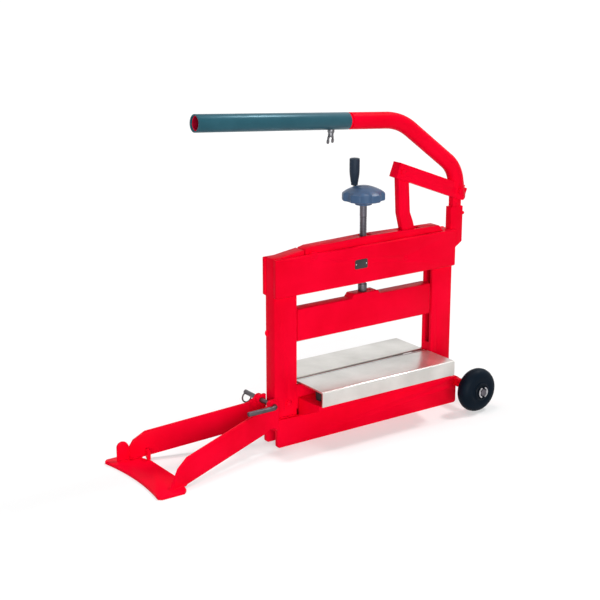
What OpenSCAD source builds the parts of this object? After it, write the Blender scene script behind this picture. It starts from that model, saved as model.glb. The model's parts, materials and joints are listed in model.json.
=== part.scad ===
// Masonry block splitter: a portal frame with a lever-driven upper blade,
// sprung tables beside a fixed lower blade, a fold-up foot and two transport wheels.
// X runs along the blades, -Y is the front, +Z is up, and z = 0 is the floor.

/* [Frame] */
// Clear width between the uprights
gap_w = 436; // [380:1:520]
// Width of an upright along the blades
upright_w = 66; // [56:1:90]
// Depth of an upright from front to back
upright_d = 38; // [34:1:60]
// Wall of the upright tube
upright_wall = 5; // [3:0.5:8]
// Underside of the cheek plates above the floor
cheek_z = 386; // [370:1:430]
// Height of the cheek plates
cheek_h = 97; // [90:1:130]
// Thickness of a cheek plate
cheek_t = 10; // [6:1:16]
// Overhang of the cheeks past the uprights
cheek_over = 2; // [0:0.5:8]
// Rounding of the cheeks' long outer edges
cheek_edge_r = 4; // [1:0.5:6]

/* [Base] */
// Height of the base channel
base_h = 73; // [66:1:100]
// Thickness of the channel's side walls
base_t = 12; // [8:1:18]
// Thickness of the channel's sole
sole_t = 8; // [5:1:14]
// Rounding of the channel's lower corners
base_corner_r = 7; // [3:0.5:12]

/* [Wheels] */
// Distance of the axle beyond the end of the frame
axle_out = 18; // [15:1:40]
// Axle diameter
axle_d = 18; // [12:1:20]
// Wheel diameter
wheel_d = 118; // [100:1:120]
// Width of a tyre
tyre_w = 43; // [30:1:48]
// Distance between the middles of the two wheels
track_w = 224; // [200:1:260]
// Diameter of the wheel's hub
hub_d = 46; // [36:1:60]

/* [Tables] */
// Height of the table tops above the floor
table_z = 160; // [150:1:175]
// Distance of the front lip from the blade's middle plane
table_reach = 123; // [105:1:150]
// Depth of the table's folded lip
lip_h = 39; // [25:1:45]
// Sheet thickness of the tables
table_t = 5; // [3:0.5:8]
// Gap between a table and the middle plane
table_gap = 10; // [8:0.5:14]
// Distance of the buffers from the frame's middle
buffer_x = 176; // [120:1:190]
// Outer diameter of a rubber buffer
buffer_d = 30; // [22:1:36]
// Diameter of the guide studs under the tables
stud_d = 10; // [8:0.5:14]

/* [Blades] */
// Thickness of both blades
blade_t = 12; // [8:0.5:16]
// How far the lower blade lies below the table tops
blade_sink = 2; // [0.5:0.5:5]
// How far the upper blade stands out of its bar
blade_out = 6; // [3:0.5:12]
// Depth of a blade in its groove
blade_seat = 18; // [12:1:24]
// Thickness of the lower blade's beam
beam_t = 30; // [26:1:34]
// Height of the lower blade's beam
beam_h = 62; // [50:1:66]

/* [Knife bar] */
// Underside of the knife bar at rest
bar_z = 264; // [255:1:275]
// Height of the knife bar
bar_h = 82; // [60:1:84]
// Thickness of the knife bar
bar_t = 34; // [30:1:35]
// Room between the bar's ends and the uprights
bar_play = 5; // [3:0.5:8]
// Height of the raised seat in the bar's middle
seat_h = 10; // [8:1:18]
// Width of the raised seat at its top
seat_w = 76; // [40:1:90]
// Height of a guide tongue at the bar's ends
tongue_h = 54; // [40:1:70]
// Width of a guide tongue
tongue_w = 20; // [14:1:24]

/* [Screw] */
// Diameter of the screw spindle
screw_d = 18; // [16:0.5:20]
// Diameter of the thrust collar above the bar
collar_d = 23; // [22:1:34]
// Height of the thrust collar
collar_h = 20; // [12:1:24]
// Height of the handwheel's underside above the floor
handwheel_z = 582; // [578:1:600]
// Handwheel diameter
handwheel_d = 109; // [90:1:120]
// Height of the handwheel
handwheel_h = 45; // [34:1:50]
// Distance of the crank grip from the spindle
crank_r = 38; // [30:1:42]
// Length of the crank grip
grip_l = 63; // [50:1:74]
// Largest diameter of the crank grip
grip_d = 26; // [20:1:30]

/* [Press beam] */
// Distance of the beam's pivot from the spindle
pivot_run = 170; // [150:1:180]
// Height of the beam's pivot above the floor
pivot_z = 479; // [470:1:479]
// Distance from the spindle to the beam's right end
beam_run = 174; // [165:1:190]
// Height of the beam's underside above the floor
beam_z = 440; // [436:1:446]
// Height of the beam's ridge above the floor
ridge_z = 503; // [498:1:503]
// Fall of the ridge towards the ends
ridge_fall = 4; // [1:0.5:8]
// Outer width of the beam
beam_w = 35; // [32:0.5:36]
// Sheet thickness of the beam
beam_wall = 6; // [4:0.5:7]
// Diameter of the beam's pivot pin
beam_pin_d = 20; // [14:1:24]
// How far the screw nut's trunnions lie below the pivot
nut_drop = 15.5; // [12:0.5:18]

/* [Lever] */
// Distance of the lever's pivot beyond the end of the frame
lever_out = 21; // [16:1:26]
// Height of the lever's pivot above the floor
lever_z = 582; // [578:1:592]
// Upward slope of the lever's arm towards its tip
arm_tilt = 20.7; // [18:0.1:22]
// Distance of the link's upper pin from the spindle
link_pin_x = 115.1; // [110:0.1:120]
// Height of the arm's section
arm_h = 40; // [36:1:42]
// Depth of the arm's section
arm_d = 30; // [28:1:34]
// Wall of the arm
arm_wall = 5; // [3:0.5:5.5]
// Diameter of the lever's pivot pin
lever_pin_d = 16; // [12:1:18]
// Diameter of the lever's tube
tube_d = 42.4; // [40:0.1:48]
// Wall of the lever's tube
tube_wall = 3.2; // [2.5:0.1:4]
// Lean of the tube's foot from upright
foot_lean = 11; // [6:0.5:16]
// Slope of the tube's shoulder
shoulder_tilt = 37; // [32:0.5:42]
// Slope of the tube's handle
handle_tilt = 4.3; // [0:0.1:8]
// Length of the tube's straight shoulder
shoulder_l = 156; // [120:1:180]
// Length of the tube's straight end towards the handle
crossbar_l = 115; // [80:1:150]
// Bend radius between foot and shoulder
foot_bend_r = 85; // [75:1:100]
// Bend radius between shoulder and handle
handle_bend_r = 150; // [110:1:170]

/* [Handle] */
// Length of the handle tube outside the lever's tube
handle_l = 438; // [380:1:460]
// Length of the sliding sleeve
sleeve_l = 435; // [380:1:450]
// Gap between the sleeve and the lever's tube
sleeve_gap = 7.5; // [4:0.5:14]
// Wall of the sliding sleeve
sleeve_wall = 3.1; // [2:0.1:4]
// Distance of the wing screw from the sleeve's end
wing_run = 47; // [30:1:80]
// Diameter of the wing screw's thread
wing_d = 8; // [6:0.5:10]

/* [Link] */
// Distance of the link's foot pin from the spindle
link_foot_x = 150; // [148:1:152]
// Height of the link's foot pin above the floor
link_foot_z = 472; // [468:1:476]
// Width of the link's bar
link_w = 35; // [30:1:36]
// Thickness of the link's bar
link_t = 18; // [14:0.5:18]
// Diameter of the link's pin at the arm
link_pin_d = 14; // [10:1:16]
// Diameter of the link's foot pin
foot_pin_d = 16; // [12:1:18]
// Radius of the link's head inside the arm
head_r = 11.5; // [9.5:0.5:11.5]

/* [Lever post] */
// Width of the post
post_w = 40; // [36:1:48]
// Thickness of the post
post_t = 22; // [20:1:30]
// Height of the post's lower end above the floor
post_z = 418; // [400:1:440]
// Height of the post's shoulder above the floor
post_top = 540; // [530:1:542]
// Radius of the eye that carries the lever
post_eye_r = 14; // [12:0.5:14]
// Thickness of the eye that carries the lever
post_eye_t = 18; // [14:0.5:18]

/* [Foot] */
// Distance of the foot's hinge from the upright
hinge_out = 14; // [13.5:0.5:18]
// Height of the foot's hinge above the floor
hinge_z = 117; // [110:1:122]
// Reach of the foot from its hinge to the legs' toes
foot_reach = 344; // [300:1:400]
// Height of the legs
leg_h = 64; // [50:1:66]
// Plate thickness of the legs
leg_t = 8; // [5:0.5:10]
// Outward splay of each leg
leg_splay = 15; // [8:0.5:18]
// Downward slope of the legs
leg_slope = 8.7; // [6:0.1:9]
// Thickness of the hinge lugs on the upright
lug_t = 8; // [6:0.5:10]
// Distance of the legs' hinge ears from the middle plane
ear_y = 29; // [28.5:0.5:34]
// Length of the toe plate across the legs
toe_l = 274; // [250:1:320]
// Width of the toe plate
toe_w = 96; // [80:1:110]
// Thickness of the toe plate
toe_t = 8; // [5:0.5:10]
// Diameter of the hinge pin
pin_d = 12; // [10:0.5:13]
// Length of the hinge pin's bent handle
pin_handle_l = 78; // [60:1:95]
// How far the hinge pin stands out behind
pin_tail = 66; // [48:1:70]

/* [Hidden] */

$fn = 64;
// Overrun of every cut past the face that it opens
over = 1;
// Radial clearance of a pin that turns in its bore
pin_fit = 0.05;
// Side clearance between flat faces that slide past each other
slide_fit = 0.5;
// Gap between pieces that rest on each other and move apart
rest_fit = 0.3;

red = "#e4071f";
steel = "#8e949c";
dark = "#2c3440";
slate = "#5d7186";
rubber = "#1c2026";

upright_x = gap_w / 2;
frame_x = upright_x + upright_w;
half_d = upright_d / 2;
upright_low = 42;
cheek_top = cheek_z + cheek_h;
base_y = half_d + base_t;
axle_x = frame_x + axle_out;
axle_z = wheel_d / 2;
axle_ear_r = base_h - axle_z;

// Guide slot in the uprights, over the whole travel of the knife bar
slot_w = tongue_w + 2 * slide_fit;
slot_rise = 20;
slot_l = 260;
slot_low = table_z + slot_rise;
tongue_in = 9;
tongue_rise = 10;
tongue_l = bar_play + upright_wall + tongue_in;
tongue_low = bar_z + tongue_rise;

// Bolts that hold the lower blade's beam in the uprights
bolt_d = 12;
bolt_in = 25;
bolt_x = upright_x + bolt_in;
bolt_z = 108;
bolt_head_d = 19;
bolt_head_h = 7;
tenon_l = 48;
tenon_h = 30;
tenon_t = upright_d - 2 * upright_wall - 2 * slide_fit;

// How far the tables sink as their buffers are squeezed
table_travel = 6;
buffer_h = 37;
stud_y = (table_gap + table_reach) / 2;
bracket_top = table_z - table_t - buffer_h;
bracket_t = 6;
bracket_nose_h = 12;
bracket_room = 11;
bracket_l = upright_x - bar_play;
bracket_tip_y = table_reach - table_t - bracket_room;
access_d = 28;
nut_h = 9;
nut_d = 19;

blade_top = table_z - blade_sink;
blade_edge_w = 3;
blade_bevel_h = 5;
beam_top = table_z - table_t - table_travel - slide_fit;

press_y = beam_w / 2;
press_inner = beam_w - 2 * beam_wall;
nut_z = pivot_z - nut_drop;
nut_side = 36;
trunnion_d = 14;
trunnion_play = 1.2;
foot_pin_play_x = 3.3;
foot_pin_play_z = 1.5;
// The spindle leans in the beam as the beam rocks, so its hole is longer to the right
screw_hole_left = 12;
screw_hole_right = 20;
beam_left_run = 20;
beam_shoulder = 17;
// The beam's tail runs out over the upright's top
tail_lap = 34;
tail_run = upright_x + tail_lap;
tail_slant = 14;
tail_z = cheek_top + slide_fit;
link_way = 72;
stop_d = 16;
stop_x = 118;

bar_top = bar_z + bar_h;
seat_top = bar_top + seat_h;
seat_run = 8;
seat_foot_w = seat_w + 2 * seat_run;
socket_depth = 30;

lever_x = frame_x + lever_out;
arm_l = (lever_x - link_pin_x) / cos(arm_tilt);
arm_tip = 16;
tip_wall = 4;
arm_tail = 15;
heel_out = 25;
heel_low = 6;
heel_h = 20;
heel_r = 26;
arm_in_d = post_eye_t + 2 * slide_fit;
arm_slot = 14;
pin_head = 3;
hair = 0.1;
lap = 2;
tube_offset = 5;
tube_tail = 42;
foot_l = 31;

boss_d = 17;
boss_h = 6;
handle_d = tube_d - 2 * tube_wall + 2 * hair - 2 * pin_fit;
handle_wall = 3;
handle_seat = 60;
sleeve_in_d = tube_d - 2 * sleeve_wall;

link_slot = 42;
link_neck = 28;
link_foot_r = 15.5;
link_knee_rise = 5;
link_knee_z = post_top + link_knee_rise;

hinge_x = -frame_x - hinge_out;
lug_y = ear_y - slide_fit - lug_t;
ear_r = hinge_out - slide_fit;
leg_root = 32;
leg_root_drop = 4;
leg_arch_r = 21;
pin_handle_y = 48;
clip_r = 13;
clip_wire = 4;
clip_in = 7;

// A profile drawn in X and Z, as a plate that is centred on the middle plane
module plate_y(t) {
    rotate([90, 0, 0]) linear_extrude(height = t, center = true) children();
}

// A profile drawn in Y and Z, drawn out along X from the place where it stands
module bar_x(l) {
    rotate([90, 0, 90]) linear_extrude(height = l) children();
}

// A round bar along Y, centred on the middle plane
module rod_y(d, l) {
    rotate([90, 0, 0]) cylinder(d = d, h = l, center = true);
}

module rounded_square(w, h, r) {
    translate([r, 0]) square([w - 2 * r, h]);
    translate([0, r]) square([w, h - 2 * r]);
    for (x = [r, w - r], y = [r, h - r]) translate([x, y]) circle(r);
}

// A slot in X and Z whose ends are round
module slot_xz(d, play) {
    translate([-play, -d / 2]) square([2 * play, d]);
    for (x = [-play, play]) translate([x, 0]) circle(d = d);
}

module mirrored_y() {
    mirror([0, 1, 0]) children();
}

// Base and frame

module base_side() {
    translate([-frame_x, 0]) rounded_square(frame_x + axle_x, base_h, base_corner_r);
    translate([axle_x, axle_z]) circle(axle_ear_r);
}

module base_channel() color(red) difference() {
    union() {
        for (s = [-1, 1]) translate([0, s * (half_d + base_t / 2), 0]) plate_y(base_t) base_side();
        translate([-upright_x, -half_d, 0]) cube([gap_w, upright_d, sole_t]);
    }
    translate([axle_x, 0, axle_z]) rod_y(axle_d, 2 * (base_y + over));
}

module upright() difference() {
    translate([upright_x, -half_d, upright_low])
        cube([upright_w, upright_d, cheek_top - rest_fit - upright_low]);
    translate([upright_x + upright_wall, -half_d + upright_wall, upright_low - over])
        cube([upright_w - 2 * upright_wall, upright_d - 2 * upright_wall,
            cheek_top - upright_low - upright_wall]);
    translate([upright_x - over, -slot_w / 2, slot_low])
        cube([upright_wall + 2 * over, slot_w, slot_l]);
    translate([upright_x - over, -tenon_t / 2, bolt_z - tenon_h / 2])
        cube([upright_wall + 2 * over, tenon_t, tenon_h]);
    translate([bolt_x, 0, bolt_z]) rod_y(bolt_d, upright_d + 2 * over);
}

module left_upright() color(red) mirror([1, 0, 0]) upright();
module right_upright() color(red) upright();

// A cheek with its long outer edges rounded and its lower corners clipped
module cheek() difference() {
    translate([-frame_x - cheek_over, 0, 0]) bar_x(2 * (frame_x + cheek_over)) {
        translate([-half_d - cheek_t, cheek_z + cheek_edge_r])
            square([cheek_t, cheek_h - 2 * cheek_edge_r]);
        translate([-half_d - cheek_t + cheek_edge_r, cheek_z]) square([cheek_t - cheek_edge_r, cheek_h]);
        for (z = [cheek_z + cheek_edge_r, cheek_top - cheek_edge_r])
            translate([-half_d - cheek_t + cheek_edge_r, z]) circle(cheek_edge_r);
    }
    for (s = [-1, 1]) translate([s * (frame_x + cheek_over), -half_d - cheek_t / 2, cheek_z])
        rotate([0, 45, 0]) cube([cheek_edge_r, cheek_t + 2 * over, cheek_edge_r], center = true);
    translate([-pivot_run, -half_d, pivot_z]) rod_y(beam_pin_d, 2 * (cheek_t + over));
    translate([stop_x, -half_d, beam_z - rest_fit - stop_d / 2]) rod_y(stop_d, 2 * (cheek_t + over));
}

module front_cheek() color(red) cheek();
module rear_cheek() color(red) mirrored_y() cheek();

module lever_post() color(red) {
    difference() {
        union() {
            translate([frame_x, 0, 0]) plate_y(post_t)
                polygon([[0, post_z], [post_w, post_z + post_w - post_eye_r],
                    [post_w, post_top], [0, post_top]]);
            plate_y(post_eye_t) {
                translate([lever_x - post_eye_r, post_top])
                    square([2 * post_eye_r, lever_z - post_top]);
                translate([lever_x, lever_z]) circle(post_eye_r);
            }
        }
        translate([lever_x, 0, lever_z]) rod_y(lever_pin_d + 2 * pin_fit, post_t);
    }
}

module beam_pivot_pin() color(red) translate([-pivot_run, 0, pivot_z])
    rod_y(beam_pin_d, upright_d + 2 * cheek_t);

module stop_bar() color(red) translate([stop_x, 0, beam_z - rest_fit - stop_d / 2])
    rod_y(stop_d, upright_d + 2 * cheek_t);

// Lower blade, its beam and its bolts

module blade_beam() color(red) difference() {
    union() {
        translate([-upright_x, -beam_t / 2, beam_top - beam_h]) cube([gap_w, beam_t, beam_h]);
        translate([-upright_x - tenon_l, -tenon_t / 2, bolt_z - tenon_h / 2])
            cube([gap_w + 2 * tenon_l, tenon_t, tenon_h]);
    }
    translate([-upright_x - over, -blade_t / 2, beam_top - blade_seat])
        cube([gap_w + 2 * over, blade_t, blade_seat + over]);
    for (s = [-1, 1]) translate([s * bolt_x, 0, bolt_z]) rod_y(bolt_d, upright_d);
}

// Blade section that stands on z = 0 with its edge upwards
module blade_section(h) {
    polygon([[-blade_t / 2, 0], [blade_t / 2, 0], [blade_t / 2, h - blade_bevel_h],
        [blade_edge_w / 2, h], [-blade_edge_w / 2, h], [-blade_t / 2, h - blade_bevel_h]]);
}

module lower_blade() color(steel) translate([-upright_x + bar_play, 0, beam_top - blade_seat])
    bar_x(gap_w - 2 * bar_play) blade_section(blade_top - beam_top + blade_seat);

module beam_bolts() color(red) for (s = [-1, 1]) translate([s * bolt_x, 0, bolt_z]) {
    rod_y(bolt_d, upright_d);
    for (e = [-1, 1]) translate([0, e * (half_d + bolt_head_h / 2), 0]) rotate([90, 0, 0])
        cylinder(d = bolt_head_d, h = bolt_head_h, center = true, $fn = 6);
}

// Sprung tables

module table_section() {
    translate([-table_reach + table_t, table_z - table_t])
        square([table_reach - table_gap - table_t, table_t]);
    translate([-table_reach, table_z - lip_h]) square([table_t, lip_h - table_t]);
    intersection() {
        translate([-table_reach + table_t, table_z - table_t]) circle(table_t);
        translate([-table_reach, table_z - table_t]) square(table_t);
    }
}

module table_plate() translate([-upright_x + bar_play, 0, 0])
    bar_x(gap_w - 2 * bar_play) table_section();

module table_studs() for (s = [-1, 1]) translate([s * buffer_x, -stud_y, 0]) {
    translate([0, 0, bracket_top - bracket_t - nut_h - rest_fit]) {
        cylinder(d = stud_d, h = table_z - table_t - bracket_top + bracket_t + nut_h + rest_fit);
        cylinder(d = nut_d, h = nut_h, $fn = 6);
    }
}

module buffers() for (s = [-1, 1]) translate([s * buffer_x, -stud_y, bracket_top]) difference() {
    cylinder(d = buffer_d, h = table_z - table_t - bracket_top);
    translate([0, 0, -over])
        cylinder(d = stud_d + 2 * slide_fit, h = table_z - bracket_top + 2 * over);
}

// Half of the shelf under a table: a folded box on the channel's edge, closed at its outer end,
// with a stud hole in its top and a way to the stud's nut in its sloping underside
module bracket_section() polygon([[-half_d, base_h], [-half_d, bracket_top], [-bracket_tip_y, bracket_top],
    [-bracket_tip_y, bracket_top - bracket_nose_h], [-base_y, base_h]]);

module bracket_hollow() polygon([[-half_d - bracket_t, base_h + bracket_t],
    [-half_d - bracket_t, bracket_top - bracket_t], [-bracket_tip_y + bracket_t, bracket_top - bracket_t]]);

module bracket() difference() {
    bar_x(bracket_l) bracket_section();
    translate([-over, 0, 0]) bar_x(bracket_l - bracket_t + over) bracket_hollow();
    translate([buffer_x, -stud_y, base_h]) {
        cylinder(d = access_d, h = bracket_top - base_h - bracket_t - over);
        cylinder(d = stud_d + 2 * slide_fit, h = bracket_top - base_h + over);
    }
}

module mirrored_x() {
    mirror([1, 0, 0]) children();
}

module front_table() color(steel) table_plate();
module rear_table() color(steel) mirrored_y() table_plate();
module front_table_studs() color(steel) table_studs();
module rear_table_studs() color(steel) mirrored_y() table_studs();
module front_buffers() color(rubber) buffers();
module rear_buffers() color(rubber) mirrored_y() buffers();
module front_left_bracket() color(red) mirrored_x() bracket();
module front_right_bracket() color(red) bracket();
module rear_left_bracket() color(red) mirrored_y() mirrored_x() bracket();
module rear_right_bracket() color(red) mirrored_y() bracket();

// Wheels

clip_groove = 3;
hub_out = 4;
wheel_y = track_w / 2;
axle_half = wheel_y + tyre_w / 2 + hub_out + clip_groove + clip_groove;
spacer_l = wheel_y - tyre_w / 2 - slide_fit - base_y;
axle_clip_d = 30;
tyre_r = tyre_w / 2;
tyre_core_r = axle_z - tyre_r;

module wheel_axle() color(steel) translate([axle_x, 0, axle_z]) rod_y(axle_d, 2 * axle_half);

module axle_spacers() color(red) for (s = [-1, 1])
    translate([axle_x, s * (base_y + spacer_l / 2), axle_z]) difference() {
        rod_y(axle_d + 2 * tube_wall, spacer_l);
        rod_y(axle_d, spacer_l + 2 * over);
    }

module axle_clips() color(steel) for (s = [-1, 1])
    translate([axle_x, s * (axle_half - clip_groove / 2 - clip_groove / 2), axle_z]) difference() {
        rod_y(axle_clip_d, clip_groove - rest_fit);
        rod_y(axle_d, clip_groove + 2 * over);
    }

module tyre() translate([axle_x, -wheel_y, axle_z]) rotate([90, 0, 0]) rotate_extrude() difference() {
    union() {
        translate([tyre_core_r, 0]) circle(tyre_r);
        translate([hub_d / 2, -tyre_r]) square([tyre_core_r - hub_d / 2, tyre_w]);
    }
    translate([0, -tyre_w]) square([hub_d / 2, 2 * tyre_w]);
}

module hub() translate([axle_x, -wheel_y, axle_z]) rotate([90, 0, 0]) difference() {
    translate([0, 0, -tyre_w / 2]) cylinder(d = hub_d, h = tyre_w + hub_out);
    translate([0, 0, -tyre_w]) cylinder(d = axle_d + 2 * pin_fit, h = 2 * tyre_w + hub_out);
}

module front_tyre() color(rubber) tyre();
module rear_tyre() color(rubber) mirrored_y() tyre();
module front_hub() color(dark) hub();
module rear_hub() color(dark) mirrored_y() hub();

// Fold-up foot

module hinge_lugs() color(red) for (s = [-1, 1])
    translate([hinge_x, s * (lug_y + lug_t / 2), hinge_z]) plate_y(lug_t) difference() {
        union() {
            circle(ear_r);
            translate([0, -ear_r]) square([hinge_out, 2 * ear_r]);
            polygon([[0, -ear_r], [hinge_out, -ear_r], [hinge_out, -3 * ear_r]]);
        }
        circle(d = pin_d + 2 * pin_fit);
    }

// Side view of a leg from its root to its toe, along the leg's own plane
toe_z = toe_t;
leg_cos = cos(leg_splay);
leg_run = (foot_reach - leg_root) / leg_cos;
leg_top = hinge_z - leg_root_drop;
leg_shoulder_share = 0.82;
leg_brow_shares = [0.52, 0.7];
leg_lap = leg_t / 3;

module leg_side() {
    fall = tan(leg_slope);
    shoulder = leg_shoulder_share * leg_run;
    heel = shoulder + leg_t;
    shoulder_z = leg_top - shoulder * fall;
    brow = [-shoulder - leg_brow_shares[0] * (leg_run - shoulder),
        toe_z + leg_brow_shares[1] * (shoulder_z - toe_z)];
    polygon([[leg_lap, leg_top + leg_lap * fall], [-shoulder, shoulder_z], brow, [-leg_run, toe_z],
        [-heel, toe_z], [leg_lap, leg_top - leg_h + leg_lap * fall]]);
}

// Root of a leg, parallel to the frame, with the hinge ear and the arch under it
module leg_root_side() difference() {
    union() {
        circle(ear_r);
        polygon([[-leg_root, -leg_root_drop], [-ear_r * cos(arm_tilt), ear_r * sin(arm_tilt)],
            [ear_r, 0], [ear_r, -leg_h - leg_root_drop], [-leg_root, -leg_h - leg_root_drop]]);
    }
    translate([-leg_arch_r + ear_r, -leg_h - leg_root_drop - leg_arch_r / 2]) circle(leg_arch_r);
    circle(d = pin_d);
}

// Frame of the splayed part of the front leg, from its bend
module splayed() {
    translate([hinge_x - leg_root, -ear_y - leg_t / 2, 0]) rotate([0, 0, leg_splay]) children();
}

module leg() {
    translate([hinge_x, -ear_y - leg_t / 2, hinge_z]) plate_y(leg_t) leg_root_side();
    splayed() plate_y(leg_t) leg_side();
}

module front_leg() color(red) leg();
module rear_leg() color(red) mirrored_y() leg();

toe_hollow_r = 640;
toe_hollow = 14;
toe_clip = 9;
toe_margin = 42;
toe_front = hinge_x - foot_reach - toe_margin;
toe_back = toe_front + toe_w;

// Toe plate with a hollowed front edge and slanted back corners
module toe_plate() color(red) linear_extrude(height = toe_t) difference() {
    polygon([[toe_back, -toe_l / 4], [toe_back, toe_l / 4], [toe_back - 2 * toe_clip, toe_l / 2 - 2 * toe_clip],
        [toe_back - 5 * toe_clip, toe_l / 2], [toe_front + toe_clip, toe_l / 2], [toe_front, toe_l / 2 - toe_clip],
        [toe_front, toe_clip - toe_l / 2], [toe_front + toe_clip, -toe_l / 2],
        [toe_back - 3 * toe_clip, -toe_l / 2], [toe_back - 2 * toe_clip, toe_clip - toe_l / 2]]);
    translate([toe_front + toe_hollow - toe_hollow_r, 0]) circle(toe_hollow_r, $fn = 4 * $fn);
}

lug_w = 30;
lug_h = 48;
rib_l = 22;
rib_h = 22;
rib_y = 72;
rib_turn = 14;

// Upright lug with a round top, beside the rear leg's toe
module toe_lug() color(red) mirrored_y() splayed()
    translate([-leg_run, leg_t + rest_fit, toe_t]) plate_y(leg_t) {
        translate([-lug_w / 2, 0]) square([lug_w, lug_h - lug_w / 2]);
        translate([0, lug_h - lug_w / 2]) circle(d = lug_w);
    }

module foot_rib() color(red) translate([toe_back - leg_t, rib_y, toe_t]) rotate([0, 0, -rib_turn])
    cube([leg_t, rib_l, rib_h]);

// Hinge pin with a bent handle in front, and a wire ring through its tail
module clip_ring(r, wire) translate([hinge_x, ear_y + pin_tail - clip_in, hinge_z - r])
    rotate([90, 0, 0]) rotate_extrude() translate([r, 0]) circle(d = wire);

module hinge_pin() color(dark) difference() {
    translate([hinge_x, 0, hinge_z]) {
        translate([0, -pin_handle_y, 0]) rotate([-90, 0, 0])
            cylinder(d = pin_d, h = pin_handle_y + ear_y + pin_tail);
        translate([0, -pin_handle_y, 0]) sphere(d = pin_d);
        translate([0, -pin_handle_y, 0]) rotate([0, -90, 0]) cylinder(d = pin_d, h = pin_handle_l);
        translate([-pin_handle_l, -pin_handle_y, 0]) sphere(d = pin_d);
    }
    clip_ring(clip_r, clip_wire + 2 * rest_fit);
}

module pin_clip() color(steel) clip_ring(clip_r, clip_wire);

// Lever

// Frame of the lever's arm: x runs along the arm away from its tip, from the pivot
module arm_frame() {
    translate([lever_x, 0, lever_z]) rotate([0, arm_tilt, 0]) children();
}

// The arm's section, with a low heel that stands out behind the tube
module arm_block() {
    translate([-arm_l - arm_tip, -arm_d / 2, -arm_h / 2]) cube([arm_l + arm_tip + arm_tail, arm_d, arm_h]);
    translate([0, -arm_d / 2, -heel_low]) cube([heel_out, arm_d, heel_h]);
}

// Slot that lets the post's eye in from below as the lever swings
module eye_slot() translate([-arm_slot, -arm_in_d / 2, -arm_h / 2 - over])
    cube([arm_slot + 2 * tube_d, arm_in_d, arm_h / 2]);

module lever_arm() color(red) arm_frame() difference() {
    arm_block();
    translate([-arm_l - arm_tip + tip_wall, -arm_in_d / 2, -arm_h / 2 + arm_wall])
        cube([arm_l + arm_tip + heel_out, arm_in_d, arm_h - 2 * arm_wall]);
    translate([-arm_l - arm_tip + tip_wall, -arm_in_d / 2, -arm_h / 2 - over])
        cube([arm_tip - tip_wall + link_slot, arm_in_d, arm_h / 2]);
    eye_slot();
    rod_y(lever_pin_d, arm_d + 2 * over);
    translate([-arm_l, 0, 0]) rod_y(link_pin_d, arm_d + 2 * over);
}

// The tube's axis, from its foot on the arm upwards: each module moves to the next stretch
module tube_foot() {
    translate([lever_x + tube_offset, 0, lever_z]) rotate([0, -90 - foot_lean, 0]) children();
}

module past_bend(r, turn) {
    translate([0, 0, r]) rotate([0, -turn, 0]) translate([0, 0, -r]) children();
}

// Section of a tube
module ring(d, wall) difference() {
    circle(d = d);
    circle(d = d - 2 * wall);
}

module bend(d, wall, r, turn) translate([0, 0, r]) rotate([90, 90, 0])
    rotate_extrude(angle = turn) translate([r, 0]) ring(d, wall);

module pipe(d, wall, from, to) translate([from, 0, 0]) rotate([0, 90, 0])
    linear_extrude(height = to - from) ring(d, wall);

foot_turn = 90 - foot_lean - shoulder_tilt;
handle_turn = shoulder_tilt - handle_tilt;

module handle_frame() tube_foot() translate([foot_l, 0, 0]) past_bend(foot_bend_r, foot_turn)
    translate([shoulder_l, 0, 0]) past_bend(handle_bend_r, handle_turn)
        translate([crossbar_l, 0, 0]) children();

// The straight lengths are a hair thinner than the bends and run a little way into them
module straight(from, to) pipe(tube_d - 2 * hair, tube_wall - 2 * hair, from, to);

module lever_tube() color(red) difference() {
    union() {
        tube_foot() {
            straight(-tube_tail, foot_l + lap);
            translate([foot_l, 0, 0]) {
                bend(tube_d, tube_wall, foot_bend_r, foot_turn);
                past_bend(foot_bend_r, foot_turn) {
                    straight(-lap, shoulder_l + lap);
                    translate([shoulder_l, 0, 0]) bend(tube_d, tube_wall, handle_bend_r, handle_turn);
                }
            }
        }
        handle_frame() straight(-crossbar_l - lap, 0);
    }
    arm_frame() {
        arm_block();
        eye_slot();
        translate([-tube_d, -tube_d, -arm_h / 2 - 2 * tube_d])
            cube([3 * tube_d, 2 * tube_d, 2 * tube_d]);
        difference() {
            translate([0, -tube_d, -2 * tube_d]) cube(2 * tube_d);
            rod_y(2 * heel_r, 3 * tube_d);
        }
        rod_y(lever_pin_d, 2 * tube_d);
    }
}

module lever_pin() color(steel) arm_frame() rod_y(lever_pin_d, tube_d + 2 * pin_head);

module link_pin() color(red) arm_frame() translate([-arm_l, 0, 0])
    rod_y(link_pin_d, arm_d + 2 * pin_head);

// Handle: a tube in the lever, and a sleeve that slides out along it

module handle_tube() color(red) handle_frame() pipe(handle_d, handle_wall, -handle_seat, handle_l);

module handle_sleeve() color(slate) handle_frame() difference() {
    pipe(tube_d, sleeve_wall, sleeve_gap, sleeve_gap + sleeve_l);
    translate([sleeve_gap + wing_run, 0, 0]) cylinder(d = wing_d + 2 * pin_fit, h = tube_d);
}

module sleeve_boss() color(steel) handle_frame() translate([sleeve_gap + wing_run, 0, 0]) difference() {
    cylinder(d = boss_d, h = tube_d / 2 + boss_h);
    rotate([0, 90, 0]) cylinder(d = tube_d, h = 2 * boss_d, center = true);
    cylinder(d = wing_d + 2 * pin_fit, h = tube_d);
}

wing_hub_h = 11;
wing_reach = 17;
wing_fall = 16;
wing_t = 3;
wing_web = 6;

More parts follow.
